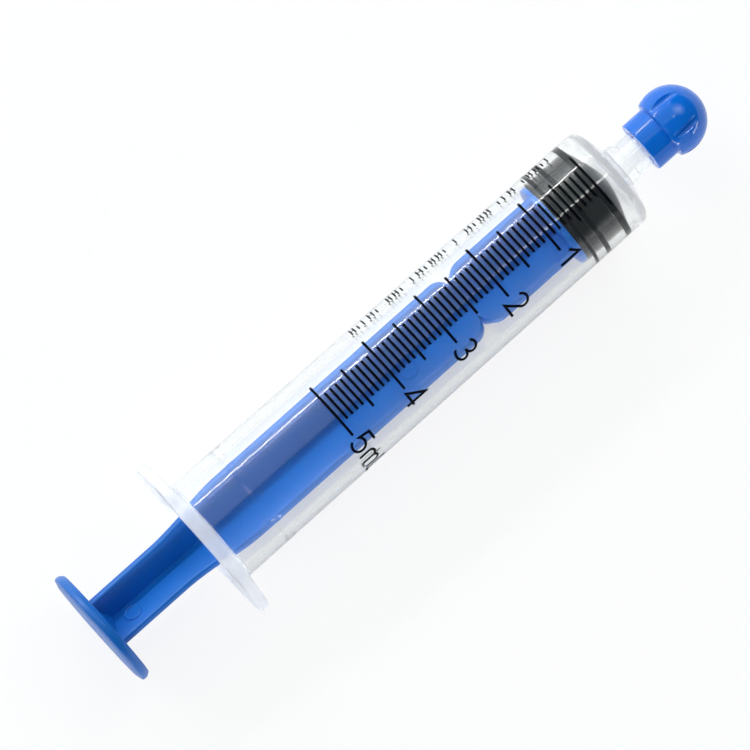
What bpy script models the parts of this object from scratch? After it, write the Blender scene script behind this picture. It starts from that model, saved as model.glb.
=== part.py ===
"""Oral dosing syringe, 5 mL, with its push-on tip cap.

Four pieces: a clear barrel with an oval finger flange, a cruciform plunger rod with a round thumb
rest, a ribbed rubber stopper snapped onto the rod's head, and a ball-ended tip cap on the nozzle.

The syringe lies along X with its nozzle towards +X. Dimensions are in millimetres, and axial
stations are counted from the zero line of the dose scale, positive towards the nozzle. The frame's
origin is the middle of the bounding box's underside.
"""

import math

import bmesh
import bpy
from mathutils import Matrix, Vector

MM = 0.001
SEGMENTS = 48  # a multiple of 12, so that the facets of nested pieces line up when turned by 30 degrees

# Running gaps between pieces that slide or turn in each other.
RADIAL_GAP = 0.05
END_GAP = 0.2

# Barrel: one moulding of tube, flange and nozzle.
BORE_R = 6.1
BORE_END = 2.1
MOUTH_R = 6.35
MOUTH_DEPTH = 0.9
TUBE_REAR_R = 7.33
TUBE_FRONT_R = 7.08
TUBE_END = 1.6
SHOULDER_ROUND = 1.4
END_CONE_SLOPE = math.tan(math.radians(20))
FLANGE_REAR = -65.3
FLANGE_HALF_WIDTH = 11.7
FLANGE_HALF_DEPTH = 8.2
FLANGE_ROOT_THICKNESS = 1.85
FLANGE_FACE_SLOPE = 0.11
FLANGE_EDGE_ROUND = 0.3
FLANGE_FILLET = 0.42
RING_CENTRE = -56.4
RING_WIDTH = 1.4
RING_HEIGHT = 0.2
RING_FLANK = 0.3

# Nozzle: a tapered male tip with a collar at its base.
COLLAR_R = 2.85
COLLAR_END = 4.95
NECK_START = 5.7
NECK_R = 2.475
NOZZLE_TIP = 14.5
NOZZLE_TIP_R = 2.25
NOZZLE_CHAMFER = 0.25
CHANNEL_R = 1.0

# Plunger rod: four ribs between a thumb rest and the disc that pushes the stopper.
RIB_THICKNESS = 1.0
RIB_TURN = math.radians(45)
WAIST_R = 4.65
RIB_R = 5.8
FLARE_START = -70.5
FLARE_END = -58.8
NOTCH_CENTRE = -21.2
NOTCH_HALF_LENGTH = 2.2
NOTCH_DEPTH = 2.5
THUMB_REAR = -81.9
THUMB_R = 8.25
THUMB_FACE_R = 7.28
THUMB_RIM_CHAMFER = 0.28
THUMB_RIM_LENGTH = 0.5
THUMB_FRONT_CHAMFER = 0.7
THUMB_FRONT_R = 7.85
THUMB_THICKNESS = 1.66
ROOT_CONE_R = 2.7
ROOT_CONE_LENGTH = 1.1
DISC_REAR = -7.0
DISC_FRONT = -6.25
DISC_R = 5.95
DISC_CHAMFER = 0.15
HEAD_NECK_R = 2.2
HEAD_REAR = -4.95
HEAD_R = 3.4
HEAD_RIM = 0.65
HEAD_TIP = -3.2
HEAD_TIP_R = 1.6

# Stopper: contact rings (rear and front edge of each) between grooves.
STOPPER_RINGS = ((-5.4, -5.0), (-3.65, -3.2), (-0.5, 0.2))
STOPPER_RING_R = BORE_R - RADIAL_GAP
STOPPER_GROOVE_R = 5.85
STOPPER_RING_FLANK = 0.15
STOPPER_NOSE = ((0.75, 4.95), (1.25, 3.75), (1.72, 2.4), (2.0, 1.2), (2.08, 0.6))

# Tip cap: a collar and a fluted ball.
CAP_REAR = 8.0
CAP_COLLAR_R = 3.52
CAP_COLLAR_END = 11.2
CAP_BEVEL = 0.15
BALL_CENTRE = 13.05
BALL_R = 4.42
BALL_SHOULDER_R = 3.95
CAP_END = BALL_CENTRE + BALL_R
FLUTES = 6
FLUTE_R = 0.62
FLUTE_DEPTH = 0.46
FLUTE_DRAFT = math.radians(5.2)
FLUTE_LENGTH = 6.0
FLUTE_TURN = math.radians(-4.5)
SOCKET_END = 14.9

# The frame: the origin is the middle of the underside of the bounding box.
ORIGIN_STATION = (THUMB_REAR + CAP_END) / 2
AXIS_HEIGHT = THUMB_R


def nozzle_radius(station):
    """Outer radius of the tapered nozzle at this station."""
    share = (station - NECK_START) / (NOZZLE_TIP - NECK_START)
    return NECK_R + share * (NOZZLE_TIP_R - NECK_R)


def point(station, y, z):
    """A place in metres from a station along the axis and offsets from it, all in millimetres."""
    return Vector((station - ORIGIN_STATION, y, AXIS_HEIGHT + z)) * MM


def arc(centre_station, centre_r, radius, start_deg, end_deg, steps):
    """Stations and radii along a round stretch of a profile; 0 degrees points forwards along X."""
    turn = [math.radians(start_deg + (end_deg - start_deg) * i / steps) for i in range(steps + 1)]
    return [(centre_station + radius * math.cos(a), centre_r + radius * math.sin(a)) for a in turn]


def material(name, colour, roughness, alpha=1.0):
    """A Principled material for one piece."""
    made = bpy.data.materials.new(name)
    made.use_nodes = True
    shader = made.node_tree.nodes["Principled BSDF"]
    shader.inputs["Base Color"].default_value = (*colour, 1.0)
    shader.inputs["Roughness"].default_value = roughness
    shader.inputs["Metallic"].default_value = 0.0
    shader.inputs["Alpha"].default_value = alpha
    return made


def skinned(name, loops, closed, look=None):
    """An object whose surface joins loops of equally many points, with flat ends unless it is closed."""
    mesh = bmesh.new()
    rings = [[mesh.verts.new(p) for p in loop] for loop in loops]
    pairs = list(zip(rings, rings[1:]))
    if closed:
        pairs.append((rings[-1], rings[0]))
    for near, far in pairs:
        for i in range(len(near)):
            j = (i + 1) % len(near)
            mesh.faces.new((near[i], near[j], far[j], far[i]))
    if not closed:
        mesh.faces.new(rings[0])
        mesh.faces.new(rings[-1])
    bmesh.ops.recalc_face_normals(mesh, faces=mesh.faces)
    data = bpy.data.meshes.new(name)
    mesh.to_mesh(data)
    mesh.free()
    data.shade_smooth()
    data.set_sharp_from_angle(angle=math.radians(35))
    made = bpy.data.objects.new(name, data)
    if look:
        data.materials.append(look)
    bpy.context.scene.collection.objects.link(made)
    return made


def section(station, half_width, half_depth=None):
    """A loop of points round the axis: a circle, or an ellipse where half_depth is given."""
    deep = half_width if half_depth is None else half_depth
    angles = [2 * math.pi * i / SEGMENTS for i in range(SEGMENTS)]
    return [point(station, half_width * math.cos(a), deep * math.sin(a)) for a in angles]


def turned(name, profile, closed=False, look=None):
    """A piece turned about the syringe's axis, from (station, radius) entries."""
    return skinned(name, [section(*entry) for entry in profile], closed, look)


def combine(target, tool, operation):
    """Adds an exact Boolean to target, and hides the tool."""
    modifier = target.modifiers.new(tool.name, "BOOLEAN")
    modifier.operation = operation
    modifier.solver = "EXACT"
    modifier.object = tool
    tool.hide_render = True
    tool.display_type = "WIRE"


def on_joint_axis(made, station):
    """Moves an object's origin onto the syringe's axis at this station, and leaves its shape in place."""
    origin = point(station, 0, 0)
    made.data.transform(Matrix.Translation(-origin))
    made.location = origin


def flange_face(half_width, half_depth):
    """The rim's outline on the flange's front face, which slopes back as it leaves the tube."""
    root = FLANGE_REAR + FLANGE_ROOT_THICKNESS
    root_r = TUBE_REAR_R + FLANGE_FILLET
    outline = []
    for a in (2 * math.pi * i / SEGMENTS for i in range(SEGMENTS)):
        y, z = half_width * math.cos(a), half_depth * math.sin(a)
        outline.append(point(root - FLANGE_FACE_SLOPE * (math.hypot(y, z) - root_r), y, z))
    return outline


def flange_loops():
    """Loops over the flange's rim, from its rear face to its front face."""
    cut = FLANGE_EDGE_ROUND
    inner = (FLANGE_HALF_WIDTH - cut, FLANGE_HALF_DEPTH - cut)
    outer = (FLANGE_HALF_WIDTH, FLANGE_HALF_DEPTH)
    back = Vector((-cut * MM, 0, 0))
    return [
        section(FLANGE_REAR, *inner),
        section(FLANGE_REAR + cut, *outer),
        [p + back for p in flange_face(*outer)],
        flange_face(*inner),
    ]


def make_barrel(look):
    shoulder = arc(TUBE_END, TUBE_FRONT_R - SHOULDER_ROUND, SHOULDER_ROUND, 90, 15, 5)
    cone_front = shoulder[-1][0] + (shoulder[-1][1] - COLLAR_R) * END_CONE_SLOPE
    outside = [
        (FLANGE_REAR + FLANGE_ROOT_THICKNESS, TUBE_REAR_R + FLANGE_FILLET),
        (FLANGE_REAR + FLANGE_ROOT_THICKNESS + FLANGE_FILLET, TUBE_REAR_R),
        *shoulder,
        (cone_front, COLLAR_R),
        (COLLAR_END, COLLAR_R),
        (NECK_START, NECK_R),
        (NOZZLE_TIP - NOZZLE_CHAMFER, nozzle_radius(NOZZLE_TIP - NOZZLE_CHAMFER)),
        (NOZZLE_TIP, NOZZLE_TIP_R - NOZZLE_CHAMFER),
    ]
    ring_rear = RING_CENTRE - RING_WIDTH / 2
    ring_front = RING_CENTRE + RING_WIDTH / 2
    inside = [
        (NOZZLE_TIP, CHANNEL_R),
        (BORE_END + (BORE_R - CHANNEL_R) * END_CONE_SLOPE, CHANNEL_R),
        (BORE_END, BORE_R),
        (ring_front, BORE_R),
        (ring_front - RING_FLANK, BORE_R - RING_HEIGHT),
        (ring_rear + RING_FLANK, BORE_R - RING_HEIGHT),
        (ring_rear, BORE_R),
        (FLANGE_REAR + MOUTH_DEPTH, BORE_R),
        (FLANGE_REAR, MOUTH_R),
    ]
    loops = flange_loops() + [section(*entry) for entry in outside + inside]
    return skinned("barrel", loops, closed=True, look=look)


def rib_radius(station):
    """Radius of the ribs' outer edges: a slim waist, a smooth flare, and two rounded corners that
    meet in a notch."""
    if station < FLARE_END:
        share = max(0.0, (station - FLARE_START) / (FLARE_END - FLARE_START))
        return WAIST_R + (RIB_R - WAIST_R) * share * share * (3 - 2 * share)
    into_corner = 1 - abs(station - NOTCH_CENTRE) / NOTCH_HALF_LENGTH
    if into_corner > 0:
        return RIB_R - NOTCH_DEPTH * (1 - math.sqrt(1 - into_corner**2))
    return RIB_R


def make_ribs(look):
    flare = [FLARE_START + (FLARE_END - FLARE_START) * i / 8 for i in range(9)]
    corner = [NOTCH_HALF_LENGTH * math.cos(math.radians(90 * i / 5)) for i in range(6)]
    notch = [NOTCH_CENTRE - NOTCH_HALF_LENGTH + c for c in reversed(corner)]
    notch += [NOTCH_CENTRE + NOTCH_HALF_LENGTH - c for c in corner[1:]]
    stations = [
        THUMB_REAR + THUMB_THICKNESS / 2,
        *flare,
        *sorted(notch),
        (DISC_REAR + DISC_FRONT) / 2,
    ]
    half = RIB_THICKNESS / 2
    loops = []
    for station in stations:
        reach = rib_radius(station)
        corners = []
        for quarter in range(4):
            turn = Matrix.Rotation(RIB_TURN + quarter * math.pi / 2, 2)
            corners += [turn @ Vector(c) for c in ((reach, -half), (reach, half), (half, half))]
        loops.append([point(station, c.x, c.y) for c in corners])
    return skinned("plunger_rod", loops, closed=False, look=look)


def make_plunger_rod(look):
    rod = make_ribs(look)
    rim_start = THUMB_REAR + THUMB_RIM_CHAMFER
    rim_end = rim_start + THUMB_RIM_LENGTH
    front = THUMB_REAR + THUMB_THICKNESS
    thumb_rest = turned(
        "thumb_rest_blank",
        [
            (THUMB_REAR, THUMB_FACE_R),
            (rim_start, THUMB_R),
            (rim_end, THUMB_R),
            (rim_end + THUMB_FRONT_CHAMFER, THUMB_FRONT_R),
            (front, ROOT_CONE_R),
            (front + ROOT_CONE_LENGTH, RIB_THICKNESS / 2),
        ],
        look=look,
    )
    head = turned(
        "head_blank",
        [
            (DISC_REAR, DISC_R - DISC_CHAMFER),
            (DISC_REAR + DISC_CHAMFER, DISC_R),
            (DISC_FRONT - DISC_CHAMFER, DISC_R),
            (DISC_FRONT, DISC_R - DISC_CHAMFER),
            (DISC_FRONT, HEAD_NECK_R),
            (HEAD_REAR, HEAD_NECK_R),
            (HEAD_REAR, HEAD_R),
            (HEAD_REAR + HEAD_RIM, HEAD_R),
            (HEAD_TIP, HEAD_TIP_R),
        ],
        look=look,
    )
    combine(rod, thumb_rest, "UNION")
    combine(rod, head, "UNION")
    on_joint_axis(rod, HEAD_REAR)
    return rod


def make_stopper(look):
    rear = DISC_FRONT + END_GAP
    outside = [(rear, STOPPER_GROOVE_R)]
    for ring_rear, ring_front in STOPPER_RINGS:
        outside += [
            (ring_rear - STOPPER_RING_FLANK, STOPPER_GROOVE_R),
            (ring_rear, STOPPER_RING_R),
            (ring_front, STOPPER_RING_R),
            (ring_front + STOPPER_RING_FLANK, STOPPER_GROOVE_R),
        ]
    pocket = [
        (HEAD_TIP + END_GAP, HEAD_TIP_R + END_GAP),
        (HEAD_REAR + HEAD_RIM + END_GAP, HEAD_R + END_GAP),
        (HEAD_REAR - END_GAP, HEAD_R + END_GAP),
        (HEAD_REAR - END_GAP, HEAD_NECK_R + END_GAP),
        (rear, HEAD_NECK_R + END_GAP),
    ]
    made = turned("stopper", pocket + outside + list(STOPPER_NOSE), look=look)
    on_joint_axis(made, STOPPER_RINGS[-1][1])
    return made


def make_flute_cutter():
    """Six round bars laid over the ball, leaning with the mould's draft."""
    bars = bmesh.new()
    reach = BALL_R - FLUTE_DEPTH + FLUTE_R
    lean = Matrix.Rotation(FLUTE_DRAFT, 4, "Y")
    lay = lean @ Matrix.Translation((0, 0, reach)) @ Matrix.Rotation(math.pi / 2, 4, "Y")
    for k in range(FLUTES):
        made = bmesh.ops.create_cone(
            bars,
            cap_ends=True,
            segments=12,
            radius1=FLUTE_R,
            radius2=FLUTE_R,
            depth=FLUTE_LENGTH,
        )
        turn = Matrix.Rotation(2 * math.pi * (k + 0.5) / FLUTES + FLUTE_TURN, 4, "X")
        bmesh.ops.transform(bars, matrix=turn @ lay, verts=made["verts"])
    to_place = Matrix.Translation(point(BALL_CENTRE, 0, 0)) @ Matrix.Scale(MM, 4)
    bmesh.ops.transform(bars, matrix=to_place, verts=bars.verts)
    data = bpy.data.meshes.new("flute_cutter")
    bars.to_mesh(data)
    bars.free()
    made = bpy.data.objects.new("flute_cutter", data)
    bpy.context.scene.collection.objects.link(made)
    return made


def make_tip_cap(look):
    ball_start_deg = math.degrees(math.acos((CAP_COLLAR_END + 0.5 - BALL_CENTRE) / BALL_R))
    ball = arc(BALL_CENTRE, 0.0, BALL_R, ball_start_deg, 10, 9)
    outside = [
        (CAP_REAR, CAP_COLLAR_R - CAP_BEVEL),
        (CAP_REAR + CAP_BEVEL, CAP_COLLAR_R),
        (CAP_COLLAR_END, CAP_COLLAR_R),
        (CAP_COLLAR_END + 0.1, BALL_SHOULDER_R),
        *ball,
        (CAP_END, 0.3),
    ]
    socket = [
        (SOCKET_END, NOZZLE_TIP_R),
        (NOZZLE_TIP, nozzle_radius(NOZZLE_TIP) + RADIAL_GAP),
        (CAP_REAR, nozzle_radius(CAP_REAR) + RADIAL_GAP),
    ]
    made = turned("tip_cap", socket + outside, look=look)
    combine(made, make_flute_cutter(), "DIFFERENCE")
    on_joint_axis(made, CAP_REAR)
    return made


def main():
    for existing in list(bpy.data.objects):
        bpy.data.objects.remove(existing)
    clear = material("clear_polypropylene", (0.86, 0.88, 0.92), 0.12, alpha=0.3)
    blue = material("blue_polypropylene", (0.03, 0.16, 0.68), 0.32)
    rubber = material("grey_rubber", (0.035, 0.042, 0.047), 0.45)
    cap_blue = material("blue_cap_plastic", (0.015, 0.14, 0.72), 0.25)
    make_barrel(clear)
    make_plunger_rod(blue)
    make_stopper(rubber)
    make_tip_cap(cap_blue)


main()
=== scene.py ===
"""Looks of the 5 mL oral syringe: fine surfaces, printed dose scale, materials, light and camera.

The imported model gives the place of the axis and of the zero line. Dimensions here are in
millimetres, and axial stations are counted from the zero line of the dose scale, positive towards
the nozzle. Angles round the barrel are counted from straight up, positive towards -Y.
"""

import math

import bmesh
import bpy
from mathutils import Matrix, Vector


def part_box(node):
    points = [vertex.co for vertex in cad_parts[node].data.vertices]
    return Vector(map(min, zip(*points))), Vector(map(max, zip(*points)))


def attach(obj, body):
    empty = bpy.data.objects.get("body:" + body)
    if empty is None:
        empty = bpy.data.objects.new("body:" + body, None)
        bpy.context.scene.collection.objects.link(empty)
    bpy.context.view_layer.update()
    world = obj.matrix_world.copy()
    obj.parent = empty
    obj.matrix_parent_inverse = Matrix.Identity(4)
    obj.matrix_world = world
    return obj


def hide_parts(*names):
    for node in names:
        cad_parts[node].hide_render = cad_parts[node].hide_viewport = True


MM = 0.001
ROUND = 192  # points round a turned surface
ARC_STEP_DEG = 12  # angle between the points of a rounded edge
SOFT_ANGLE_DEG = 38  # edges that turn by more than this are shaded sharp
END_FLAT_R = 0.3  # radius of the small flat face that closes a turned profile on the axis

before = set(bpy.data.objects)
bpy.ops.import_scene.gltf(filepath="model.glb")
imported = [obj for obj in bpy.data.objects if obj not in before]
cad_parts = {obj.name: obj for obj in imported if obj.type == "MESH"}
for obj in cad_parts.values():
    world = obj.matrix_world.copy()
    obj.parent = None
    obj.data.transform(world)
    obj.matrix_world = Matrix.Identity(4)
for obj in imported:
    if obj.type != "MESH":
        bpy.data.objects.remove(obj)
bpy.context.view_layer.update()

# The syringe's axis and its zero line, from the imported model.
THUMB_REAR = -81.9
ZERO_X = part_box("plunger_rod")[0].x / MM - THUMB_REAR
AXIS_Z = (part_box("stopper")[0].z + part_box("stopper")[1].z) / 2 / MM

# Barrel.
BORE_R = 6.1
BORE_END = 2.1
MOUTH_R = 6.35
MOUTH_DEPTH = 0.9
TUBE_REAR_R = 7.33
TUBE_FRONT_R = 7.08
TUBE_END = 1.6
TUBE_LOOP = -18.4  # one loop of points part way along the tube
SHOULDER_ROUND = 1.4
SHOULDER_TURN = math.radians(75)  # how far the round shoulder turns before the end cone starts
END_CONE_SLOPE = math.tan(math.radians(20))
FLANGE_REAR = -65.3
FLANGE_HALF_WIDTH = 11.7
FLANGE_HALF_DEPTH = 8.2
FLANGE_ROOT_THICKNESS = 1.85
FLANGE_SLOPE = 0.11
FLANGE_EDGE_ROUND = 0.36
FLANGE_FILLET = 0.42
FLANGE_STEPS = 6
RING_CENTRE = -56.4
RING_WIDTH = 1.4
RING_HEIGHT = 0.1
RING_FLANK = 0.45
COLLAR_R = 2.85
COLLAR_END = 4.95
NECK_START = 5.7
NECK_R = 2.475
NOZZLE_TIP = 14.5
NOZZLE_TIP_R = 2.25
CHANNEL_R = 1.0
# Along these spans the painted glow of the milky plastic comes in together with the milk.
MILK_REAR = (FLANGE_REAR + 2.35, FLANGE_REAR + 1.5)  # from clear to as milky as the flange
MILK_FRONT = (TUBE_END - 1.2, TUBE_END + 0.9)

# Dose scale.
ML_LENGTH = 1000 / (math.pi * BORE_R**2)
SCALE_ML = 5
SCALE_CENTRE_DEG = -9.9
MARK_HALF_DEG = {"tenth": 17.05, "half": 24.95, "full": 33.35}
MARK_WIDTH = 0.34
DIGIT_LEFT_DEG = 26.6
DIGIT_WIDTH = 2.07
DIGIT_HEIGHT = 2.98
DIGIT_STROKE = 0.36
DIGIT_SHIFT = 0.37  # how far a figure's middle lies ahead of its mark
UNIT_M_SHIFT = 2.8  # from the left of the last figure to the left of each letter of the unit
UNIT_L_SHIFT = 6.1
INK_LOW = 0.004
INK_HIGH = 0.025

# Line of small ticks along the side.
SIDE_START = -34.3
SIDE_LOW_DEG = -77.0
SIDE_HIGH_DEG = -61.5
SIDE_ARC_R = 7.2  # turns the two angles above into arc lengths
SIDE_STROKE = 0.2
SIDE_SHORTER = 0.6
SIDE_GAP = 0.62
SIDE_GROUP_GAP = 0.95
SIDE_GROUPS = (5, 3, 6, 1, 4, 3, 5)
SIDE_WIDTHS = (0.5, 0.22, 0.34, 0.62, 0.28, 0.46)
SIDE_DOUBLE_FROM = 0.4  # a tick wider than this is a pair of strokes with a bar between them

# Plunger rod.
RIB_THICKNESS = 1.0
RIB_TURN = math.radians(45)
RIB_EDGE_ROUND = 0.33
RIB_FILLET = 0.05
WAIST_R = 4.65
RIB_R = 5.86
FLARE_START = -70.5
FLARE_END = -58.8
FLARE_STEPS = 24
NOTCH_CENTRE = -21.2
NOTCH_HALF_LENGTH = 2.2
NOTCH_DEPTH = 2.7
NOTCH_STEPS = 14
THUMB_R = 8.25
THUMB_FACE_R = 7.28
THUMB_THICKNESS = 1.66
THUMB_CHAMFER = 0.26
THUMB_RIM_FRONT = 0.9
THUMB_BEVEL_FRONT = 1.48
THUMB_BEVEL_R = 7.85
THUMB_HUB_R = 2.9
THUMB_HUB_LENGTH = 1.1
DISC_REAR = -7.0
DISC_FRONT = -6.25
DISC_R = 5.95
HEAD_NECK_R = 2.2
HEAD_REAR = -4.95
HEAD_R = 3.4
HEAD_RIM = 0.65
HEAD_TIP = -3.2
HEAD_TIP_R = 1.6
EJECTOR_MARKS = ((-77.15, 2.1), (-32.0, 2.8))  # station and distance from the axis
EJECTOR_PROFILE = (  # height above the rib's middle plane, and radius
    (0.2, 1.2),
    (0.6, 1.2),
    (0.64, 1.16),
    (0.65, 1.08),
    (0.64, 1.02),
    (0.58, 0.96),
    (0.57, 0.9),
)
EJECTOR_POINTS = 48

# Stopper.
STOPPER_RINGS = ((-5.62, -5.2), (-3.8, -3.2), (-0.6, 0.18))
STOPPER_RING_R = BORE_R + 0.02  # the rubber presses on the bore, so its rings reach into the wall
STOPPER_GROOVE_R = 6.04
STOPPER_RING_STEP = 0.12
STOPPER_REAR_GAP = 0.03
POCKET_GAP = 0.05
STOPPER_NOSE = ((0.75, 4.95), (1.25, 3.75), (1.72, 2.4), (2.0, 1.2), (2.1, 0.03))

# Tip cap.
CAP_REAR = 8.0
CAP_COLLAR_R = 3.52
CAP_COLLAR_END = 11.2
BALL_CENTRE = 13.10
BALL_R = 4.48
BALL_STEPS = 90
BALL_START = math.radians(70)  # from the ball's rear pole to where the cap's outline joins it
FLUTES = 6
FLUTE_R = 0.62
FLUTE_DEPTH = 0.46
FLUTE_DRAFT = math.radians(5.2)
FLUTE_TURN = math.radians(-4.5)
FLUTE_EDGE_ROUND = 0.07
FLUTE_SPAN_DEG = 9.6  # half of the angle over which the points stand close together
FLUTE_FINE_STEPS = 32
FLUTE_COARSE_STEPS = 16
FLUTED_FROM_R = 3.6
SOCKET_END = 14.9
SOCKET_GAP = 0.02


# ---------------------------------------------------------------- places and meshes

def place(station, y, z):
    """A point in metres from a station along the axis and offsets from it in millimetres."""
    return ((ZERO_X + station) * MM, y * MM, (AXIS_Z + z) * MM)


def rounded(corners):
    """An open profile of (station, radius, rounding) corners with each inner corner made an arc."""
    points = []
    last = len(corners) - 1
    for i, (station, radius, rounding) in enumerate(corners):
        here = Vector((station, radius))
        if not rounding or i in (0, last):
            points.append((station, radius))
            continue
        back = Vector(corners[i - 1][:2]) - here
        ahead = Vector(corners[i + 1][:2]) - here
        turn = math.pi - back.angle(ahead)
        if turn < 1e-3:
            points.append((station, radius))
            continue
        cut = min(rounding * math.tan(turn / 2), 0.49 * min(back.length, ahead.length))
        centre = here + (back.normalized() + ahead.normalized()).normalized() * (
            cut / math.tan(turn / 2) / math.cos(turn / 2)
        )
        first = here + back.normalized() * cut - centre
        final = here + ahead.normalized() * cut - centre
        steps = max(1, math.ceil(math.degrees(turn) / ARC_STEP_DEG))
        for k in range(steps + 1):
            share = k / steps
            offset = (
                math.sin((1 - share) * turn) * first + math.sin(share * turn) * final
            ) / math.sin(turn)
            points.append(tuple(centre + offset))
    return points


def ring(station, radius):
    """One loop of points round the axis."""
    angles = [2 * math.pi * i / ROUND for i in range(ROUND)]
    return [place(station, radius * math.cos(a), radius * math.sin(a)) for a in angles]


def skin(name, loops, closed=False):
    """A mesh object that joins loops of equally many points, with flat ends unless it is closed."""
    count = len(loops[0])
    points = [p for loop in loops for p in loop]
    faces = []
    for i in range(len(loops) if closed else len(loops) - 1):
        j = (i + 1) % len(loops)
        for k in range(count):
            m = (k + 1) % count
            faces.append((i * count + k, i * count + m, j * count + m, j * count + k))
    if not closed:
        faces.append(tuple(range(count)))
        faces.append(tuple(range((len(loops) - 1) * count, len(loops) * count)))
    return solid(name, points, faces)


def solid(name, points, faces):
    """A closed mesh object with its faces pointing out and smooth shading between soft angles."""
    data = bpy.data.meshes.new(name)
    data.from_pydata(points, [], faces)
    mesh = bmesh.new()
    mesh.from_mesh(data)
    bmesh.ops.recalc_face_normals(mesh, faces=mesh.faces)
    mesh.to_mesh(data)
    mesh.free()
    made = bpy.data.objects.new(name, data)
    bpy.context.scene.collection.objects.link(made)
    shade(made)
    return made


def shade(made):
    made.data.shade_smooth()
    made.data.set_sharp_from_angle(angle=math.radians(SOFT_ANGLE_DEG))


def keep_flats_flat(made):
    """Weights the shading normals by face area, so that flat faces stay flat beside rounded edges."""
    modifier = made.modifiers.new("flats", "WEIGHTED_NORMAL")
    modifier.keep_sharp = True


def turned(name, profile):
    return skin(name, [ring(x, r) for x, r in profile])


def apply_union(target, tools):
    """Joins tools to target with exact Booleans, applies them and removes the tools."""
    for tool in tools:
        modifier = target.modifiers.new(tool.name, "BOOLEAN")
        modifier.operation = "UNION"
        modifier.solver = "EXACT"
        modifier.object = tool
    graph = bpy.context.evaluated_depsgraph_get()
    joined = bpy.data.meshes.new_from_object(target.evaluated_get(graph))
    target.modifiers.clear()
    target.data = joined
    for tool in tools:
        bpy.data.objects.remove(tool)
    shade(target)


# ---------------------------------------------------------------- barrel

def tube_radius(station):
    """Outer radius of the tapered tube."""
    rear = FLANGE_REAR + FLANGE_ROOT_THICKNESS + FLANGE_FILLET
    share = (station - rear) / (TUBE_END - rear)
    return TUBE_REAR_R + share * (TUBE_FRONT_R - TUBE_REAR_R)


def nozzle_radius(station):
    share = (station - NECK_START) / (NOZZLE_TIP - NECK_START)
    return NECK_R + share * (NOZZLE_TIP_R - NECK_R)


def flange_loops():
    """The oval flange: its rounded rim and its front face, which slopes back from the tube."""
    root_x = FLANGE_REAR + FLANGE_ROOT_THICKNESS
    root_r = TUBE_REAR_R + FLANGE_FILLET
    edge = FLANGE_EDGE_ROUND
    quarter = [math.radians(90 * i / FLANGE_STEPS) for i in range(FLANGE_STEPS + 1)]
    angles = [2 * math.pi * i / ROUND for i in range(ROUND)]

    def rim_front(a):
        wide = (FLANGE_HALF_WIDTH - edge) * math.cos(a) - root_r * math.cos(a)
        deep = (FLANGE_HALF_DEPTH - edge) * math.sin(a) - root_r * math.sin(a)
        return root_x - FLANGE_SLOPE * math.hypot(wide, deep)

    def rim_loop(inset, station_of):
        return [
            place(
                station_of(a),
                (FLANGE_HALF_WIDTH + inset) * math.cos(a),
                (FLANGE_HALF_DEPTH + inset) * math.sin(a),
            )
            for a in angles
        ]

    loops = []
    for q in quarter:
        rear = FLANGE_REAR + edge - edge * math.cos(q)
        loops.append(rim_loop(edge * (math.sin(q) - 1), lambda a, x=rear: x))
    for q in quarter:
        back = edge * (1 - math.sin(q))
        loops.append(rim_loop(edge * (math.cos(q) - 1), lambda a, b=back: rim_front(a) - b))
    for q in quarter:
        station = root_x + FLANGE_FILLET * (1 - math.cos(q))
        loops.append(ring(station, root_r - FLANGE_FILLET * math.sin(q)))
    return loops


def make_barrel():
    """The whole wall as one closed profile: flange, tube, nozzle, then back along the bore."""
    shoulder_x = TUBE_END + SHOULDER_ROUND * math.sin(SHOULDER_TURN)
    shoulder_r = TUBE_FRONT_R - SHOULDER_ROUND * (1 - math.cos(SHOULDER_TURN))
    cone_x = shoulder_x + (shoulder_r - COLLAR_R) * END_CONE_SLOPE
    wall = rounded([
        (TUBE_LOOP, tube_radius(TUBE_LOOP), 0),
        (TUBE_END + SHOULDER_ROUND, tube_radius(TUBE_END), SHOULDER_ROUND),
        (cone_x, COLLAR_R, 0.35),
        (COLLAR_END, COLLAR_R, 0.12),
        (NECK_START, NECK_R, 0.4),
        (NOZZLE_TIP, NOZZLE_TIP_R, 0.3),
        (NOZZLE_TIP, CHANNEL_R, 0.1),
        (BORE_END + (BORE_R - CHANNEL_R) * END_CONE_SLOPE, CHANNEL_R, 0.3),
        (BORE_END, BORE_R, 0.35),
        (RING_CENTRE + RING_WIDTH / 2, BORE_R, 0.5),
        (RING_CENTRE + RING_WIDTH / 2 - RING_FLANK, BORE_R - RING_HEIGHT, 0.4),
        (RING_CENTRE - RING_WIDTH / 2 + RING_FLANK, BORE_R - RING_HEIGHT, 0.4),
        (RING_CENTRE - RING_WIDTH / 2, BORE_R, 0.5),
        (FLANGE_REAR + MOUTH_DEPTH, BORE_R, 0.4),
        (FLANGE_REAR, MOUTH_R, 0),
    ])
    loops = flange_loops() + [ring(x, r) for x, r in wall]
    made = skin("barrel_body", loops, closed=True)
    keep_flats_flat(made)
    return made


# ---------------------------------------------------------------- plunger rod

def rib_radius(station):
    """Radius of the ribs' outer edges: a slim waist, a smooth flare, and two rounded corners that
    meet in a notch."""
    if station < FLARE_END:
        share = max(0.0, (station - FLARE_START) / (FLARE_END - FLARE_START))
        return WAIST_R + (RIB_R - WAIST_R) * share * share * (3 - 2 * share)
    into_corner = 1 - abs(station - NOTCH_CENTRE) / NOTCH_HALF_LENGTH
    if into_corner > 0:
        return RIB_R - NOTCH_DEPTH * (1 - math.sqrt(1 - into_corner**2))
    return RIB_R


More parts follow.
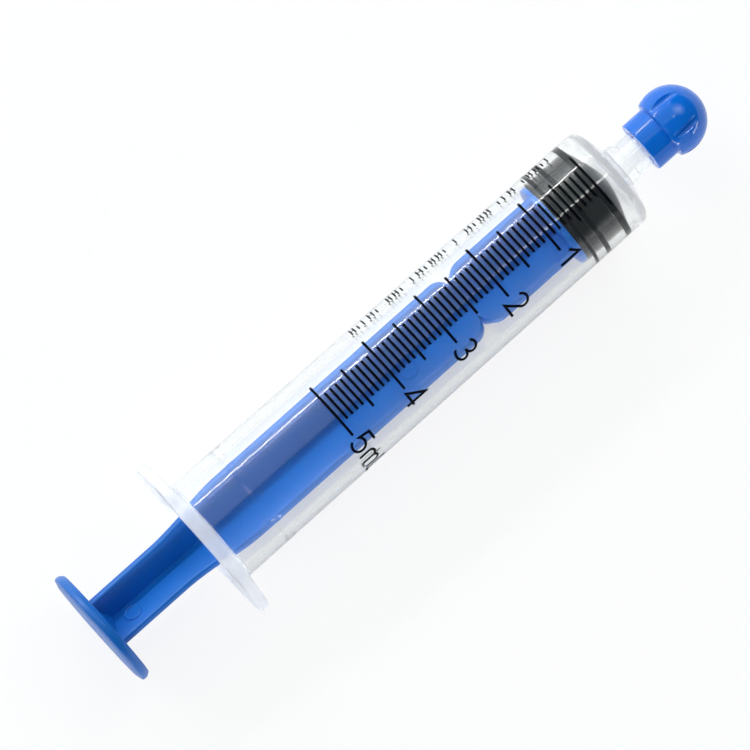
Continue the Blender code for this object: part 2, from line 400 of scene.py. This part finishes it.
def rib_section(reach):
    """The cross of four ribs as one loop: rounded rib edges and small fillets in the corners."""
    half = RIB_THICKNESS / 2
    edge = RIB_EDGE_ROUND
    fillet = RIB_FILLET
    turns = [math.radians(30 * i) for i in range(4)]
    corners = []
    for quarter in range(4):
        turn = Matrix.Rotation(RIB_TURN + quarter * math.pi / 2, 2)
        low = [(reach - edge + edge * math.sin(t), -half + edge - edge * math.cos(t)) for t in turns]
        high = [(reach - edge + edge * math.cos(t), half - edge + edge * math.sin(t)) for t in turns]
        inner = [(half + fillet * (1 - math.sin(t)), half + fillet * (1 - math.cos(t))) for t in turns]
        corners += [turn @ Vector(c) for c in low + high + inner]
    return corners


def make_ribs():
    length = FLARE_END - FLARE_START
    flare = [FLARE_START + length * i / FLARE_STEPS for i in range(FLARE_STEPS + 1)]
    turns = [math.radians(90 * i / NOTCH_STEPS) for i in range(NOTCH_STEPS + 1)]
    corner = [NOTCH_HALF_LENGTH * math.cos(t) for t in turns]
    notch = [NOTCH_CENTRE - NOTCH_HALF_LENGTH + c for c in reversed(corner)]
    notch += [NOTCH_CENTRE + NOTCH_HALF_LENGTH - c for c in corner[1:]]
    stations = [
        THUMB_REAR + THUMB_THICKNESS / 2,
        *flare,
        *sorted(notch),
        (DISC_REAR + DISC_FRONT) / 2,
    ]
    loops = [[place(s, c.x, c.y) for c in rib_section(rib_radius(s))] for s in stations]
    return skin("plunger", loops)


def make_ejector_mark(station, out_from_axis):
    """A faint ring-shaped mark that a mould's ejector pin leaves on the flank of a rib."""
    along = Vector((math.cos(RIB_TURN + math.pi / 2), math.sin(RIB_TURN + math.pi / 2)))
    normal = Vector((math.cos(RIB_TURN), math.sin(RIB_TURN)))
    loops = []
    for height, radius in EJECTOR_PROFILE:
        loop = []
        for i in range(EJECTOR_POINTS):
            a = 2 * math.pi * i / EJECTOR_POINTS
            flat = along * (out_from_axis + radius * math.sin(a)) + normal * height
            loop.append(place(station + radius * math.cos(a), flat.x, flat.y))
        loops.append(loop)
    return skin("ejector_mark", loops)


def make_thumb_rest():
    front = THUMB_REAR + THUMB_THICKNESS
    return turned("thumb_blank", rounded([
        (THUMB_REAR, 0.02, 0),
        (THUMB_REAR, THUMB_FACE_R, 0.1),
        (THUMB_REAR + THUMB_CHAMFER, THUMB_R, 0.25),
        (THUMB_REAR + THUMB_RIM_FRONT, THUMB_R, 0.4),
        (THUMB_REAR + THUMB_BEVEL_FRONT, THUMB_BEVEL_R, 0.3),
        (front, THUMB_HUB_R, 0.6),
        (front + THUMB_HUB_LENGTH, END_FLAT_R, 0),
    ]))


def make_head():
    """The rod's front disc and the head that snaps into the stopper."""
    return turned("head_blank", rounded([
        (DISC_REAR, END_FLAT_R, 0),
        (DISC_REAR, DISC_R, 0.15),
        (DISC_FRONT, DISC_R, 0.15),
        (DISC_FRONT, HEAD_NECK_R, 0.2),
        (HEAD_REAR, HEAD_NECK_R, 0.1),
        (HEAD_REAR, HEAD_R, 0.15),
        (HEAD_REAR + HEAD_RIM, HEAD_R, 0.3),
        (HEAD_TIP, HEAD_TIP_R, 0.3),
        (HEAD_TIP, END_FLAT_R, 0),
    ]))


def make_plunger():
    thumb_rest = make_thumb_rest()
    head = make_head()
    rod = make_ribs()
    marks = [make_ejector_mark(*spot) for spot in EJECTOR_MARKS]
    apply_union(rod, [thumb_rest, head, *marks])
    keep_flats_flat(rod)
    return rod


# ---------------------------------------------------------------- stopper

def make_stopper():
    rear = DISC_FRONT + STOPPER_REAR_GAP
    outside = [(rear, STOPPER_GROOVE_R, 0.2)]
    for ring_rear, ring_front in STOPPER_RINGS:
        outside += [
            (ring_rear - STOPPER_RING_STEP, STOPPER_GROOVE_R, 0.15),
            (ring_rear, STOPPER_RING_R, 0.12),
            (ring_front, STOPPER_RING_R, 0.12),
            (ring_front + STOPPER_RING_STEP, STOPPER_GROOVE_R, 0.15),
        ]
    gap = POCKET_GAP
    pocket = [
        (HEAD_TIP + gap, END_FLAT_R, 0),
        (HEAD_TIP + gap, HEAD_TIP_R + gap, 0.2),
        (HEAD_REAR + HEAD_RIM + gap, HEAD_R + gap, 0.2),
        (HEAD_REAR - gap, HEAD_R + gap, 0.1),
        (HEAD_REAR - gap, HEAD_NECK_R + gap, 0.1),
        (rear, HEAD_NECK_R + gap, 0.1),
    ]
    nose = [(x, r, 1.5) for x, r in STOPPER_NOSE[:-1]] + [(*STOPPER_NOSE[-1], 0)]
    made = turned("stopper_rubber", rounded(pocket + outside + nose))
    keep_flats_flat(made)
    return made


# ---------------------------------------------------------------- tip cap

def ball_radius(station):
    """Radius of the ball at a station, and zero beyond its ends."""
    return math.sqrt(max(0.0, BALL_R**2 - (station - BALL_CENTRE) ** 2))


def soft_least(a, b, reach):
    """The smaller of a and b, rounded off where they are within reach of each other."""
    gap = max(0.0, reach - abs(a - b)) / reach
    return min(a, b) - gap * gap * reach / 4


def fluted(station, radius, angle):
    """radius, cut back where one of the round-bottomed flutes passes at this angle."""
    step = 2 * math.pi / FLUTES
    off = (angle - FLUTE_TURN) % step - step / 2
    axis_r = (BALL_R - FLUTE_DEPTH + FLUTE_R) / math.cos(FLUTE_DRAFT) - (
        station - BALL_CENTRE
    ) * math.tan(FLUTE_DRAFT)
    inside = FLUTE_R**2 - (axis_r * math.sin(off)) ** 2
    if inside <= 0:
        return radius
    return soft_least(radius, axis_r * math.cos(off) - math.sqrt(inside), FLUTE_EDGE_ROUND)


def flute_angles():
    """Angles round the cap, close together across each flute. Zero is straight up."""
    fine = 2 * FLUTE_SPAN_DEG
    coarse = 360 / FLUTES - fine
    degrees = [fine * i / FLUTE_FINE_STEPS - FLUTE_SPAN_DEG for i in range(FLUTE_FINE_STEPS + 1)]
    degrees += [FLUTE_SPAN_DEG + coarse * i / FLUTE_COARSE_STEPS for i in range(1, FLUTE_COARSE_STEPS)]
    offsets = [math.radians(d) for d in degrees]
    step = 2 * math.pi / FLUTES
    return [FLUTE_TURN + step * (k + 0.5) + o for k in range(FLUTES) for o in offsets]


def make_tip_cap():
    shoulder = BALL_CENTRE - BALL_R * math.cos(BALL_START)
    collar = rounded([
        (SOCKET_END, END_FLAT_R, 0),
        (SOCKET_END, NOZZLE_TIP_R, 0.2),
        (NOZZLE_TIP, nozzle_radius(NOZZLE_TIP) + SOCKET_GAP, 0.1),
        (CAP_REAR, nozzle_radius(CAP_REAR) + SOCKET_GAP, 0.08),
        (CAP_REAR, CAP_COLLAR_R, 0.14),
        (CAP_COLLAR_END, CAP_COLLAR_R, 0.12),
        (CAP_COLLAR_END + 0.02, ball_radius(CAP_COLLAR_END + 0.1), 0.2),
        (shoulder, ball_radius(shoulder), 0),
    ])
    first = math.acos((shoulder - BALL_CENTRE) / BALL_R)
    turns = [first * (1 - i / BALL_STEPS) for i in range(1, BALL_STEPS)]
    ball = [(BALL_CENTRE + BALL_R * math.cos(t), BALL_R * math.sin(t)) for t in turns]
    angles = flute_angles()
    loops = []
    for station, radius in collar + ball:
        loop = []
        for a in angles:
            r = fluted(station, radius, a) if radius > FLUTED_FROM_R else radius
            loop.append(place(station, -r * math.sin(a), r * math.cos(a)))
        loops.append(loop)
    made = skin("tip_cap_body", loops)
    keep_flats_flat(made)
    return made


# ---------------------------------------------------------------- printed dose scale

def curve_points(centre_x, centre_y, radius_x, radius_y, start_deg, end_deg, steps=14):
    """Points along an elliptic arc; angles run from the glyph's right, anticlockwise."""
    turn = [math.radians(start_deg + (end_deg - start_deg) * i / steps) for i in range(steps + 1)]
    return [(centre_x + radius_x * math.cos(t), centre_y + radius_y * math.sin(t)) for t in turn]


def glyph_strokes():
    """Centre lines of the figures and the unit, in millimetres from each one's lower left."""
    w, h = DIGIT_WIDTH, DIGIT_HEIGHT
    arch = [(0.0, 0.0), (0.0, 1.4), *curve_points(0.64, 1.5, 0.64, 0.62, 180, 0), (1.28, 0.0)]
    return {
        "1": [[(1.2, 0.0), (1.2, h), (0.12, h - 0.98)]],
        "2": [[*curve_points(1.0, h - 0.86, 0.90, 0.86, 165, -32), (0.04, 0.0), (w, 0.0)]],
        "3": [
            curve_points(0.98, h - 0.76, 0.82, 0.76, 150, -95),
            curve_points(0.98, 0.74, 0.98, 0.74, 97, -155),
        ],
        "4": [[(1.58, 0.0), (1.58, h), (0.02, 0.84), (w, 0.84)]],
        "5": [[(1.82, h), (0.42, h), (0.20, 1.52), *curve_points(0.98, 0.94, 1.02, 0.94, 128, -152)]],
        "m": [arch, [(x + 1.28, y) for x, y in arch[1:]]],
        "L": [[(0.0, h), (0.0, 0.0), (1.35, 0.0)]],
    }


def finer(points, longest=0.22):
    """The same line with points close enough to bend round the barrel."""
    made = [points[0]]
    for a, b in zip(points, points[1:]):
        steps = max(1, math.ceil(math.dist(a, b) / longest))
        for i in range(1, steps + 1):
            made.append((a[0] + (b[0] - a[0]) * i / steps, a[1] + (b[1] - a[1]) * i / steps))
    return made


def ribbon(points, width):
    """Left and right edges of a flat stroke along points, with mitred corners."""
    left, right = [], []
    for i, (x, y) in enumerate(points):
        before = Vector(points[max(i - 1, 0)])
        after = Vector(points[min(i + 1, len(points) - 1)])
        here = Vector((x, y))
        into = (here - before).normalized() if i else (after - here).normalized()
        out = (after - here).normalized() if i < len(points) - 1 else into
        normal = Vector((-into.y - out.y, into.x + out.x)).normalized()
        reach = width / 2 / max(0.35, normal.dot(Vector((-into.y, into.x))))
        left.append(here + normal * reach)
        right.append(here - normal * reach)
    return left, right


class Ink:
    """Collects flat strokes laid out on the unrolled barrel, and wraps them onto it.
    Layout coordinates are (station, arc length from straight up towards -Y)."""

    def __init__(self):
        self.points, self.faces = [], []

    def wrapped(self, station, along, height):
        r = tube_radius(station)
        a = along / r
        return place(station, -(r + height) * math.sin(a), (r + height) * math.cos(a))

    def stroke(self, line, width):
        left, right = ribbon(finer(line), width)
        base = len(self.points)
        for p, q in zip(left, right):
            for height in (INK_LOW, INK_HIGH):
                self.points += [self.wrapped(*p, height), self.wrapped(*q, height)]
        for i in range(len(left) - 1):
            a, b = base + 4 * i, base + 4 * (i + 1)
            self.faces += [
                (a, a + 1, b + 1, b),
                (a + 2, b + 2, b + 3, a + 3),
                (a, b, b + 2, a + 2),
                (a + 1, a + 3, b + 3, b + 1),
            ]
        end = base + 4 * (len(left) - 1)
        self.faces += [(base, base + 2, base + 3, base + 1), (end, end + 1, end + 3, end + 2)]

    def glyph(self, strokes, baseline, left):
        """Strokes with their tops towards the nozzle, their baseline at this station and their
        left edge at this arc length."""
        for line in strokes:
            self.stroke([(baseline + y, left + x) for x, y in line], DIGIT_STROKE)

    def piece(self, name):
        return solid(name, self.points, self.faces)


def make_dose_scale():
    ink = Ink()
    glyphs = glyph_strokes()
    for tenth in range(SCALE_ML * 10 + 1):
        station = -tenth * ML_LENGTH / 10
        size = "full" if tenth % 10 == 0 else "half" if tenth % 5 == 0 else "tenth"
        r = tube_radius(station)
        ends = [math.radians(SCALE_CENTRE_DEG + s * MARK_HALF_DEG[size]) * r for s in (-1, 1)]
        ink.stroke([(station, ends[0]), (station, ends[1])], MARK_WIDTH)
    for ml in range(1, SCALE_ML + 1):
        mark = -ml * ML_LENGTH
        left = math.radians(DIGIT_LEFT_DEG) * tube_radius(mark) + DIGIT_STROKE / 2
        baseline = mark + DIGIT_SHIFT - DIGIT_HEIGHT / 2
        ink.glyph(glyphs[str(ml)], baseline, left)
    ink.glyph(glyphs["m"], baseline, left + UNIT_M_SHIFT)
    ink.glyph(glyphs["L"], baseline, left + UNIT_L_SHIFT)
    return ink.piece("dose_scale_ink")


def make_side_line():
    """A generic line of small ticks in word-like groups along the side, in place of wording."""
    ink = Ink()
    high = math.radians(SIDE_HIGH_DEG) * SIDE_ARC_R
    station = SIDE_START
    done = 0
    for ticks in SIDE_GROUPS:
        for _ in range(ticks):
            wide = SIDE_WIDTHS[done % len(SIDE_WIDTHS)]
            low = math.radians(SIDE_LOW_DEG) * SIDE_ARC_R
            if done % 3 == 1:
                low += SIDE_SHORTER
            ink.stroke([(station, low), (station, high)], SIDE_STROKE)
            if wide > SIDE_DOUBLE_FROM:
                middle = (low + high) / 2
                bar = [(station + SIDE_STROKE / 2, middle), (station + wide, middle)]
                ink.stroke(bar, SIDE_STROKE)
                ink.stroke([(station + wide, low), (station + wide, high)], SIDE_STROKE)
            station += wide + SIDE_GAP
            done += 1
        station += SIDE_GROUP_GAP
    return ink.piece("side_line_ink")


# ---------------------------------------------------------------- materials

FLOOR_BOUNCED = (0.78, 0.80, 0.385)  # darkest and lightest reflectance, and own glow
FLOOR_SEEN = (0.155, 0.165, 0.855)
# The milky shares below also set how much painted glow shows: the milk emits a little light of its
# own, so the flange and front end look brightly lit.
TUBE_MILK_AND_GLOW = 0.008
FLANGE_MILK_AND_GLOW = 0.5
FRONT_MILK_AND_GLOW = 0.25
MILK_PAINTED_GLOW = 0.12


def new_material(name):
    made = bpy.data.materials.new(name)
    made.use_nodes = True
    nodes = made.node_tree.nodes
    nodes.clear()
    return made, nodes, made.node_tree.links


def noise(nodes, links, coordinates, scale, detail=4.0, roughness=0.5, stretch=(1, 1, 1)):
    """A noise texture on the piece's own coordinates; scale is in features per metre."""
    mapping = nodes.new("ShaderNodeMapping")
    mapping.inputs["Scale"].default_value = stretch
    links.new(coordinates, mapping.inputs["Vector"])
    made = nodes.new("ShaderNodeTexNoise")
    made.inputs["Scale"].default_value = scale
    made.inputs["Detail"].default_value = detail
    made.inputs["Roughness"].default_value = roughness
    links.new(mapping.outputs["Vector"], made.inputs["Vector"])
    return made.outputs["Fac"]


def ramp(nodes, links, source, low, high):
    """Maps the middle of a 0..1 pattern onto colours low..high."""
    made = nodes.new("ShaderNodeValToRGB")
    made.color_ramp.elements[0].position = 0.3
    made.color_ramp.elements[1].position = 0.7
    made.color_ramp.elements[0].color = (*low, 1)
    made.color_ramp.elements[1].color = (*high, 1)
    links.new(source, made.inputs["Fac"])
    return made.outputs["Color"]


def spread(nodes, links, source, low, high):
    """Maps the middle of a 0..1 pattern onto numbers low..high."""
    made = nodes.new("ShaderNodeMapRange")
    made.inputs["From Min"].default_value = 0.3
    made.inputs["From Max"].default_value = 0.7
    made.inputs["To Min"].default_value = low
    made.inputs["To Max"].default_value = high
    links.new(source, made.inputs["Value"])
    return made.outputs["Result"]


def bump(nodes, links, heights):
    """A bump from (pattern, height in millimetres) pairs."""
    normal = None
    for source, height in heights:
        made = nodes.new("ShaderNodeBump")
        made.inputs["Strength"].default_value = 1.0
        made.inputs["Distance"].default_value = height * MM
        links.new(source, made.inputs["Height"])
        if normal is not None:
            links.new(normal, made.inputs["Normal"])
        normal = made.outputs["Normal"]
    return normal


def own_coordinates(nodes):
    return nodes.new("ShaderNodeTexCoord").outputs["Object"]


def moulded_plastic(name, dark, light, roughness, grain_mm, sheen_mm, subsurface):
    """Coloured moulded plastic: faint colour drift, fine grain, flow waves and handling scuffs."""
    made, nodes, links = new_material(name)
    where = own_coordinates(nodes)
    drift = noise(nodes, links, where, 130, 3)
    grain = noise(nodes, links, where, 5200, 2, 0.6)
    waves = noise(nodes, links, where, 420, 2)
    scuffs = noise(nodes, links, where, 900, 5, 0.7, (0.25, 1, 1))
    shader = nodes.new("ShaderNodeBsdfPrincipled")
    links.new(ramp(nodes, links, drift, dark, light), shader.inputs["Base Color"])
    gloss = spread(nodes, links, scuffs, roughness - 0.02, roughness + 0.04)
    links.new(gloss, shader.inputs["Roughness"])
    links.new(bump(nodes, links, ((grain, grain_mm), (waves, sheen_mm))), shader.inputs["Normal"])
    shader.inputs["IOR"].default_value = 1.49
    shader.inputs["Subsurface Weight"].default_value = subsurface
    shader.inputs["Subsurface Radius"].default_value = (0.2, 0.5, 1.0)
    shader.inputs["Subsurface Scale"].default_value = 0.6 * MM
    output = nodes.new("ShaderNodeOutputMaterial")
    links.new(shader.outputs["BSDF"], output.inputs["Surface"])
    return made


def rod_plastic():
    """Satin blue polypropylene."""
    return moulded_plastic(
        "blue_polypropylene",
        dark=(0.002, 0.139, 0.56),
        light=(0.004, 0.158, 0.62),
        roughness=0.36,
        grain_mm=0.002,
        sheen_mm=0.002,
        subsurface=0.12,
    )


def cap_plastic():
    """The same blue, glossier and almost without grain."""
    return moulded_plastic(
        "blue_cap_plastic",
        dark=(0.001, 0.154, 0.70),
        light=(0.003, 0.176, 0.79),
        roughness=0.12,
        grain_mm=0.0003,
        sheen_mm=0.0002,
        subsurface=0.1,
    )


def rubber():
    """Dark moulded rubber with a film of silicone: soft gloss, fine grain, faint mould bloom."""
    made, nodes, links = new_material("stopper_rubber")
    where = own_coordinates(nodes)
    bloom = noise(nodes, links, where, 260, 4, 0.6)
    grain = noise(nodes, links, where, 6000, 3, 0.6)
    shader = nodes.new("ShaderNodeBsdfPrincipled")
    tone = ramp(nodes, links, bloom, (0.004, 0.006, 0.008), (0.008, 0.011, 0.014))
    links.new(tone, shader.inputs["Base Color"])
    links.new(spread(nodes, links, bloom, 0.30, 0.42), shader.inputs["Roughness"])
    links.new(bump(nodes, links, ((grain, 0.004),)), shader.inputs["Normal"])
    shader.inputs["Specular IOR Level"].default_value = 0.15
    output = nodes.new("ShaderNodeOutputMaterial")
    links.new(shader.outputs["BSDF"], output.inputs["Surface"])
    return made


def printed_ink():
    """Black pad-printed ink: thin, slightly uneven, almost without gloss."""
    made, nodes, links = new_material("black_ink")
    where = own_coordinates(nodes)
    patches = noise(nodes, links, where, 1500, 4, 0.65)
    shader = nodes.new("ShaderNodeBsdfPrincipled")
    tone = ramp(nodes, links, patches, (0.001, 0.0015, 0.003), (0.003, 0.004, 0.007))
    links.new(tone, shader.inputs["Base Color"])
    links.new(spread(nodes, links, patches, 0.42, 0.58), shader.inputs["Roughness"])
    shader.inputs["Specular IOR Level"].default_value = 0.03
    links.new(bump(nodes, links, ((patches, 0.003),)), shader.inputs["Normal"])
    output = nodes.new("ShaderNodeOutputMaterial")
    links.new(shader.outputs["BSDF"], output.inputs["Surface"])
    return made


def milkiness(nodes, links, where):
    """How milky the plastic looks, and with the milk how much painted glow it shows: little in the
    thin tube, much in the thick flange and front end.
    """
    parts = nodes.new("ShaderNodeSeparateXYZ")
    links.new(where, parts.inputs["Vector"])
    ends = []
    for (start, full), most in ((MILK_REAR, FLANGE_MILK_AND_GLOW), (MILK_FRONT, FRONT_MILK_AND_GLOW)):
        reach = nodes.new("ShaderNodeMapRange")
        reach.interpolation_type = "SMOOTHSTEP"
        reach.inputs["From Min"].default_value = (ZERO_X + start) * MM
        reach.inputs["From Max"].default_value = (ZERO_X + full) * MM
        reach.inputs["To Min"].default_value = 0.0
        reach.inputs["To Max"].default_value = most
        links.new(parts.outputs["X"], reach.inputs["Value"])
        ends.append(reach.outputs["Result"])
    both = nodes.new("ShaderNodeMath")
    both.operation = "ADD"
    both.use_clamp = True
    links.new(ends[0], both.inputs[0])
    links.new(ends[1], both.inputs[1])
    total = nodes.new("ShaderNodeMath")
    total.operation = "MAXIMUM"
    total.inputs[1].default_value = TUBE_MILK_AND_GLOW
    links.new(both.outputs["Value"], total.inputs[0])
    return total.outputs["Value"]


def clear_plastic():
    """Clear polypropylene: refracts, has a faint milkiness that also carries a painted glow, uneven
    gloss and fine flow lines, and lets light through to what is inside."""
    made, nodes, links = new_material("clear_polypropylene")
    where = own_coordinates(nodes)
    flow = noise(nodes, links, where, 240, 2, 0.4, (0.12, 1, 1))
    haze = noise(nodes, links, where, 140, 4, 0.6)
    glass = nodes.new("ShaderNodeBsdfPrincipled")
    tint = ramp(nodes, links, haze, (0.965, 0.965, 0.955), (0.985, 0.985, 0.975))
    links.new(tint, glass.inputs["Base Color"])
    links.new(spread(nodes, links, haze, 0.07, 0.11), glass.inputs["Roughness"])
    links.new(bump(nodes, links, ((flow, 0.0005),)), glass.inputs["Normal"])
    glass.inputs["IOR"].default_value = 1.49
    glass.inputs["Transmission Weight"].default_value = 1.0
    lit = nodes.new("ShaderNodeBsdfDiffuse")
    lit.inputs["Color"].default_value = (0.94, 0.95, 0.97, 1)
    glow = nodes.new("ShaderNodeBsdfTranslucent")
    glow.inputs["Color"].default_value = (0.94, 0.95, 0.97, 1)
    milk = nodes.new("ShaderNodeMixShader")
    milk.inputs["Fac"].default_value = 0.5
    links.new(lit.outputs["BSDF"], milk.inputs[1])
    links.new(glow.outputs["BSDF"], milk.inputs[2])
    # Painted glow: the milk emits a little light of its own, so the milky flange and front end look
    # brightly lit.
    painted_glow = nodes.new("ShaderNodeEmission")
    painted_glow.inputs["Color"].default_value = (1, 1, 1, 1)
    painted_glow.inputs["Strength"].default_value = MILK_PAINTED_GLOW
    milk_with_painted_glow = nodes.new("ShaderNodeAddShader")
    links.new(milk.outputs["Shader"], milk_with_painted_glow.inputs[0])
    links.new(painted_glow.outputs["Emission"], milk_with_painted_glow.inputs[1])
    body = nodes.new("ShaderNodeMixShader")
    links.new(milkiness(nodes, links, where), body.inputs["Fac"])
    links.new(glass.outputs["BSDF"], body.inputs[1])
    links.new(milk_with_painted_glow.outputs["Shader"], body.inputs[2])
    through = nodes.new("ShaderNodeBsdfTransparent")
    through.inputs["Color"].default_value = (0.93, 0.935, 0.93, 1)
    path = nodes.new("ShaderNodeLightPath")
    mix = nodes.new("ShaderNodeMixShader")
    links.new(path.outputs["Is Shadow Ray"], mix.inputs["Fac"])
    links.new(body.outputs["Shader"], mix.inputs[1])
    links.new(through.outputs["BSDF"], mix.inputs[2])
    output = nodes.new("ShaderNodeOutputMaterial")
    links.new(mix.outputs["Shader"], output.inputs["Surface"])
    return made


def floor_material():
    """White paper. Seen directly it is nearly overexposed; what it bounces is a plain white."""
    made, nodes, links = new_material("white_sweep")
    where = own_coordinates(nodes)
    tone = noise(nodes, links, where, 3, 2)
    path = nodes.new("ShaderNodeLightPath")
    mix = nodes.new("ShaderNodeMixShader")
    links.new(path.outputs["Is Camera Ray"], mix.inputs["Fac"])
    for i, (low, high, glow) in enumerate((FLOOR_BOUNCED, FLOOR_SEEN)):
        shader = nodes.new("ShaderNodeBsdfPrincipled")
        colours = ramp(nodes, links, tone, (low, low, low), (high, high, high))
        links.new(colours, shader.inputs["Base Color"])
        shader.inputs["Roughness"].default_value = 0.7
        shader.inputs["Emission Color"].default_value = (1, 1, 1, 1)
        shader.inputs["Emission Strength"].default_value = glow
        links.new(shader.outputs["BSDF"], mix.inputs[1 + i])
    output = nodes.new("ShaderNodeOutputMaterial")
    links.new(mix.outputs["Shader"], output.inputs["Surface"])
    return made


def dress(piece, material, body, node=None):
    """Gives a piece its material and its body, and hides the CAD node that it stands for."""
    piece.data.materials.clear()
    piece.data.materials.append(material)
    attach(piece, body)
    if node:
        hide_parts(node)


# ---------------------------------------------------------------- stage, light and camera
# Sizes and places from here on are in metres, except where a name or a comment says otherwise.

FLOOR_HALF = 15.0
LAMP_DISTANCE = 0.8
FAR_WHITE = (0.97, 0.98, 1.0)


def make_floor():
    size = FLOOR_HALF
    corners = [(-size, -size, 0), (size, -size, 0), (size, size, 0), (-size, size, 0)]
    data = bpy.data.meshes.new("floor")
    data.from_pydata(corners, [], [(0, 1, 2, 3)])
    made = bpy.data.objects.new("floor", data)
    data.materials.append(floor_material())
    bpy.context.scene.collection.objects.link(made)


def strip_light(name, from_deg, to_deg, radiance, colour=(1, 1, 1), low_x=-0.5, high_x=0.5):
    """A long lamp parallel to the syringe, between two angles from straight up towards +Y."""
    half = math.radians(to_deg - from_deg) / 2
    tilt = math.radians(from_deg + to_deg) / 2
    data = bpy.data.lights.new(name, "AREA")
    data.shape = "RECTANGLE"
    data.size = high_x - low_x
    data.size_y = 2 * LAMP_DISTANCE * math.tan(half)
    data.energy = radiance * math.pi * data.size * data.size_y
    data.color = colour
    made = bpy.data.objects.new(name, data)
    made.location = (
        (low_x + high_x) / 2,
        LAMP_DISTANCE * math.sin(tilt),
        LAMP_DISTANCE * math.cos(tilt) + AXIS_Z * MM,
    )
    made.rotation_euler = (-tilt, 0, 0)
    made.visible_camera = False
    bpy.context.scene.collection.objects.link(made)


def end_light(name, spot, size, radiance):
    """A round lamp at a spot off one end of the syringe, facing the syringe."""
    data = bpy.data.lights.new(name, "AREA")
    data.shape = "DISK"
    data.size = size
    data.energy = radiance * math.pi * math.pi * size**2 / 4
    made = bpy.data.objects.new(name, data)
    made.location = spot
    made.rotation_euler = Vector(spot).to_track_quat("Z", "Y").to_euler()
    made.visible_camera = False
    bpy.context.scene.collection.objects.link(made)


def make_lights():
    # A bright low wall of light on the +Y side, its sharp upper edge, and a soft fade above it.
    strip_light("low_wall", 60, 87, 1.8, (0.92, 0.98, 1.0))
    strip_light("wall_edge", 57.3, 58.7, 44)
    strip_light("fade_low", 40, 57, 1.0, (0.95, 1.0, 0.94))
    strip_light("fade_high", 3, 40, 0.75, (0.82, 1.0, 0.98))
    # The far side is dim opposite the middle, so that the barrel's lower half stays clear.
    strip_light("far_wall", -88, -66, 0.7, FAR_WHITE, -0.25, 0.25)
    strip_light("far_front", -89, -83, 7.0, FAR_WHITE, 0.28, 0.9)
    strip_light("far_rear", -89, -83, 22.0, FAR_WHITE, -0.9, -0.28)
    # A short strip almost overhead draws a thin line along the front of the barrel.
    strip_light("front_strip", 3.6, 7.0, 10, (1.0, 0.99, 0.97), 0.10, 0.20)
    # Round lamps light the cap and the barrel's front end, and the thumb rest's rear face.
    end_light("front_end", (0.56, 0.19, 0.74), 0.62, 1.1)
    end_light("front_core", (0.54, 0.18, 0.71), 0.30, 2.0)
    end_light("rear_end", (-0.62, -0.15, 0.58), 0.5, 1.0)


def make_world():
    world = bpy.data.worlds.new("studio")
    world.use_nodes = True
    background = world.node_tree.nodes["Background"]
    background.inputs["Color"].default_value = (0.92, 0.95, 1.0, 1)
    background.inputs["Strength"].default_value = 0.06
    bpy.context.scene.world = world


VIEW_STATION = -35.33  # the point looked at, in millimetres
VIEW_OFFSET_Y = 0.85
VIEW_DISTANCE = 1.15
VIEW_TILT = math.radians(4.2)
VIEW_ROLL = math.radians(41.668)
VIEW_WIDTH = 0.09245
SENSOR = 36.0


def make_camera():
    """Almost straight above the syringe, which runs from lower left to upper right."""
    data = bpy.data.cameras.new("camera")
    data.sensor_width = SENSOR
    data.lens = SENSOR * VIEW_DISTANCE / VIEW_WIDTH
    data.clip_start = 0.01
    data.clip_end = 100
    made = bpy.data.objects.new("camera", data)
    t, r = VIEW_TILT, VIEW_ROLL
    right = Vector((math.cos(t) * math.cos(r), -math.sin(r), math.sin(t) * math.cos(r)))
    up = Vector((math.cos(t) * math.sin(r), math.cos(r), math.sin(t) * math.sin(r)))
    back = Vector((-math.sin(t), 0, math.cos(t)))
    turn = Matrix((right, up, back)).transposed()
    target = Vector(place(VIEW_STATION, VIEW_OFFSET_Y, 0))
    made.matrix_world = Matrix.Translation(target + back * VIEW_DISTANCE) @ turn.to_4x4()
    bpy.context.scene.collection.objects.link(made)
    bpy.context.scene.camera = made


def build():
    blue_rod = rod_plastic()
    blue_cap = cap_plastic()
    ink = printed_ink()
    dress(make_barrel(), clear_plastic(), "barrel", "barrel")
    dress(make_dose_scale(), ink, "barrel")
    dress(make_side_line(), ink, "barrel")
    dress(make_plunger(), blue_rod, "plunger_rod", "plunger_rod")
    dress(make_stopper(), rubber(), "stopper", "stopper")
    dress(make_tip_cap(), blue_cap, "tip_cap", "tip_cap")
    make_floor()
    make_lights()
    make_world()
    make_camera()
    bpy.context.scene.view_settings.view_transform = "Standard"


build()
